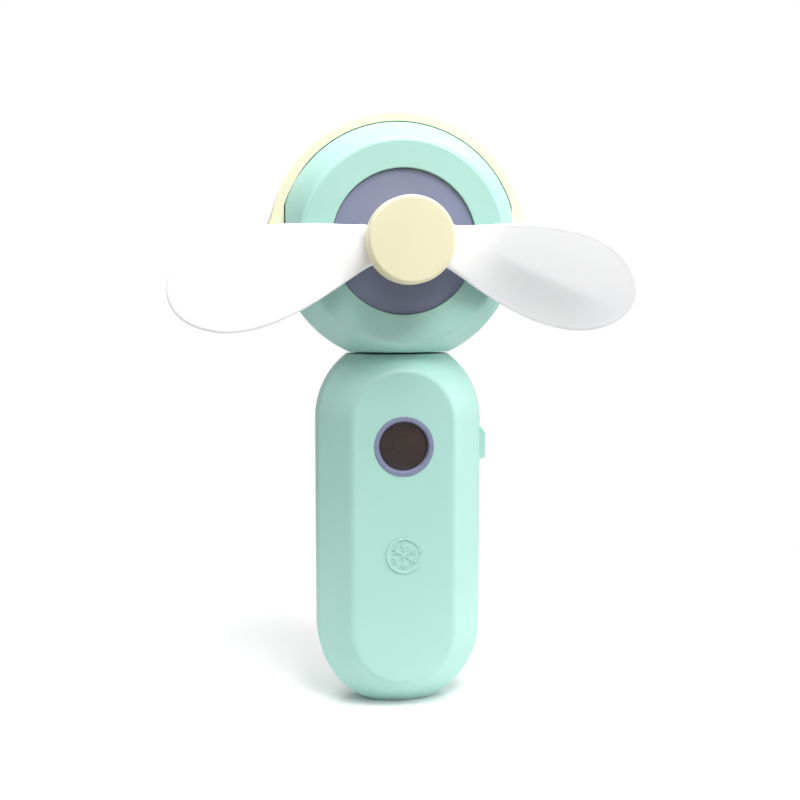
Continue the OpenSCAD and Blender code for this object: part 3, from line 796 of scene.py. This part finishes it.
def blade_stations():
    """Stations along a blade from behind its eye to its tip: distance from the pin, half width, and fullness."""
    widest, tip = blade_widest - blade_pin_x, blade_reach - blade_pin_x
    root = 4.6
    eye = [math.pi / 2 * i / 10 for i in range(10)]
    end = [math.pi / 2 * i / 26 for i in range(27)]
    stations = [(-blade_eye_r * math.cos(a), blade_eye_r * math.sin(a), math.sin(a) ** 0.2) for a in eye]
    swell = blade_root_half - blade_eye_r
    stations += [(root * i / 6, blade_eye_r + swell * blend(0, 1, i / 6), 1) for i in range(6)]
    for i in range(44):
        t = i / 44
        grow = math.sin(math.pi / 2 * t) ** 1.15
        stations.append((root + (widest - root) * t, blade_root_half + (blade_half - blade_root_half) * grow, 1))
    for a in end:
        stations.append((widest + (tip - widest) * math.sin(a), blade_half * math.cos(a), max(math.cos(a), 0) ** 0.35))
    return stations


def paddle(side):
    """A blade: a thick eye, a flat neck, and a pitched paddle with a shallow dish along its trailing half."""
    stations = blade_stations()
    widest, tip = blade_widest - blade_pin_x, blade_reach - blade_pin_x
    around = 72
    bm = bmesh.new()
    bmesh.ops.create_grid(bm, x_segments=len(stations) - 1, y_segments=around, size=1)
    for corner in bm.verts:
        along, half, full = stations[round((corner.co.x + 1) / 2 * (len(stations) - 1))]
        turn = math.pi * (corner.co.y + 1)
        thick = 4.3 + (2.8 - 4.3) * blend(3, 5.5, along) + (1.5 - 2.8) * blend(8, 17, along)
        sideways = half * math.cos(turn)
        lift = math.copysign(abs(math.sin(turn)) ** 0.35, math.sin(turn)) * thick / 2 * full
        # The dish falls away from just below the middle line and runs out towards the tip.
        start = 1.6 - 3.4 * blend(10, 40, along)
        depth = 2.1 * blend(6, 27, along) * (1 - blend(33, 49, along))
        below = max(start - sideways, 0)
        dish = -depth * (1 - math.exp(-(below ** 1.5) / 16))
        # A fine lip runs round the front of the paddle, just inside its edge.
        past = max(along - widest, 0) / (tip - widest)
        edge = math.hypot(past, sideways / blade_half) if past else abs(math.cos(turn))
        dish += 0.1 * blend(0.9, 0.95, edge) * blend(9, 16, along) * blend(-0.1, 0.3, math.sin(turn))
        pitch = blade_pitch * blend(3.4, 19, along)
        up = sideways * math.cos(pitch) - (lift + dish) * math.sin(pitch)
        out = sideways * math.sin(pitch) + (lift + dish) * math.cos(pitch)
        corner.co = (along, -out, up)
    bmesh.ops.remove_doubles(bm, verts=bm.verts, dist=0.004)
    bmesh.ops.recalc_face_normals(bm, faces=bm.faces)
    bm = combined(bm, bars([(0, 0)], pin_r + 0.06, -4, 4, 32))
    swing = blade_droop if side > 0 else blade_droop * -1 + math.pi
    place = Matrix.Translation((side * blade_pin_x, blade_mid_y, head_z)) @ Matrix.Rotation(swing, 4, "Y")
    bmesh.ops.transform(bm, matrix=place, verts=bm.verts)
    return bm


piece("paddle_right", paddle(1), "right_blade", blade_white, "blade_right", 40)
piece("paddle_left", paddle(-1), "left_blade", blade_white, "blade_left", 40)


# ---------------------------------------------------------------------------------------------------------
# Floor, light and camera
# ---------------------------------------------------------------------------------------------------------
def pale_floor():
    """A plain matt white floor."""
    bm = bmesh.new()
    bmesh.ops.create_grid(bm, x_segments=1, y_segments=1, size=0.5)
    mesh = bpy.data.meshes.new("floor")
    bm.to_mesh(mesh)
    bm.free()
    material, tree, shader, place = finish_of("matt_white_floor", "#f6f6f6", Roughness=0.9, Specular_IOR_Level=0.1)
    spots = add(tree, "TexNoise", [("Vector", place)], [("Scale", per_mm(4)), ("Detail", 3)])
    tooth = add(tree, "Bump", [("Height", spots.outputs["Fac"])], [("Distance", 0.02 * MM)])
    tree.links.new(tooth.outputs["Normal"], shader.inputs["Normal"])
    # The floor thins out away from the object, so that it meets the white surround without a line.
    reach = add(tree, "VectorMath", [("Vector", place)], operation="LENGTH")
    edge = add(
        tree, "MapRange", [("Value", reach.outputs["Value"])], [("From Min", 0.05), ("From Max", 0.24)],
        interpolation_type="SMOOTHSTEP",
    )
    clear = add(tree, "BsdfTransparent")
    mix = add(
        tree, "MixShader",
        [("Fac", edge.outputs["Result"]), (1, shader.outputs["BSDF"]), (2, clear.outputs["BSDF"])],
    )
    tree.links.new(mix.outputs["Shader"], tree.nodes["Material Output"].inputs["Surface"])
    mesh.materials.append(material)
    floor = bpy.data.objects.new("floor", mesh)
    bpy.context.scene.collection.objects.link(floor)


def soft_light(name, spot, aim, size, power, colour="#ffffff"):
    """A square studio light that faces a point of the object."""
    lamp = bpy.data.lights.new(name, "AREA")
    lamp.size, lamp.energy, lamp.color = size, power, linear(colour)[:3]
    light = bpy.data.objects.new(name, lamp)
    light.location = spot
    light.rotation_mode = "QUATERNION"
    light.rotation_quaternion = (Vector(aim) - Vector(spot)).to_track_quat("-Z", "Y")
    bpy.context.scene.collection.objects.link(light)


def white_room(strength, mirrored):
    """A white surround: dim as a light, so that shadows keep their depth, and brighter where a gloss mirrors it."""
    world = bpy.data.worlds.new("white room")
    world.use_nodes = True
    tree = world.node_tree
    around = tree.nodes["Background"]
    around.inputs["Color"].default_value = linear("#ffffff")
    around.inputs["Strength"].default_value = strength
    glint = add(tree, "Background", values=[("Color", linear("#ffffff")), ("Strength", mirrored)])
    seen = add(tree, "Background", values=[("Color", linear("#ffffff")), ("Strength", 1.0)])
    path = add(tree, "LightPath")
    lit = add(
        tree, "MixShader",
        [("Fac", path.outputs["Is Glossy Ray"]), (1, around.outputs["Background"]), (2, glint.outputs["Background"])],
    )
    mix = add(
        tree, "MixShader",
        [("Fac", path.outputs["Is Camera Ray"]), (1, lit.outputs["Shader"]), (2, seen.outputs["Background"])],
    )
    tree.links.new(mix.outputs["Shader"], tree.nodes["World Output"].inputs["Surface"])
    bpy.context.scene.world = world


def studio_camera(aim, yaw, pitch, distance, lens):
    """The camera stands a little to the left of the object and a little above its middle."""
    camera = bpy.data.objects.new("camera", bpy.data.cameras.new("camera"))
    camera.data.lens = lens
    camera.data.clip_start = 0.01
    back = Vector((-math.sin(yaw) * math.cos(pitch), -math.cos(yaw) * math.cos(pitch), math.sin(pitch)))
    camera.location = Vector(aim) + back * distance
    camera.rotation_mode = "QUATERNION"
    camera.rotation_quaternion = (-back).to_track_quat("-Z", "Y")
    bpy.context.scene.collection.objects.link(camera)
    bpy.context.scene.camera = camera


pale_floor()
white_room(0.05, 0.55)
soft_light("key", (0.08, -0.2, 0.42), (0, 0, 0.11), 0.2, 1.55)
soft_light("front", (0.03, -0.45, 0.36), (0, 0, 0.1), 0.3, 0.5)
soft_light("overhead", (-0.12, -0.04, 0.55), (0, 0, 0.1), 0.4, 1.6)
soft_light("right side", (0.6, -0.1, 0.16), (0, 0, 0.08), 0.4, 2.1)
soft_light("left side", (-0.5, -0.1, 0.3), (0, 0, 0.1), 0.4, 0.55)
soft_light("behind", (0.2, 0.6, 0.4), (0, 0, 0.08), 0.4, 2.6)
studio_camera((0.0007, 0, 0.0741), math.radians(8), math.radians(5), 0.296, 54)

bpy.context.scene.view_settings.view_transform = "Standard"
